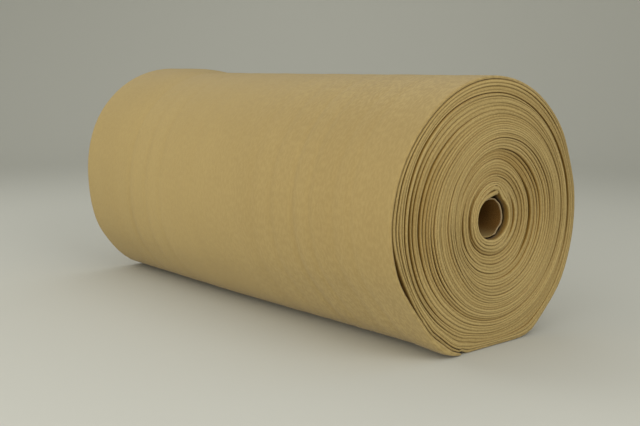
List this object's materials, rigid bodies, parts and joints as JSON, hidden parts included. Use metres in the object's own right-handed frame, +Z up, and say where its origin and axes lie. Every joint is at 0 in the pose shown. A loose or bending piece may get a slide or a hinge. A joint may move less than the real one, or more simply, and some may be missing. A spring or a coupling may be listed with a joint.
{
  "type": "roll of rib knit fabric",
  "caption": "Tubular rib knit cloth pressed flat and wound into a roll on a thin card core, lying on its side with its free end hanging down the front.",
  "frame": {"origin": "on the surface, under the middle of the roll's bounding box", "axes": "+X along the roll's axis towards its near, open end; +Z up from the flat spot; the free end of the cloth lies on the -Y side"},
  "size_m": [0.5056, 0.2358, 0.2328],
  "materials": {
    "rib_knit": "matt khaki rib knit, soft and slightly fuzzy",
    "card": "matt brown spiral-wound card"
  },
  "bodies": {
    "root": {"wound_cloth": "rib_knit", "loose_end": "rib_knit", "core_tube": "card"}
  },
  "joints": []
}
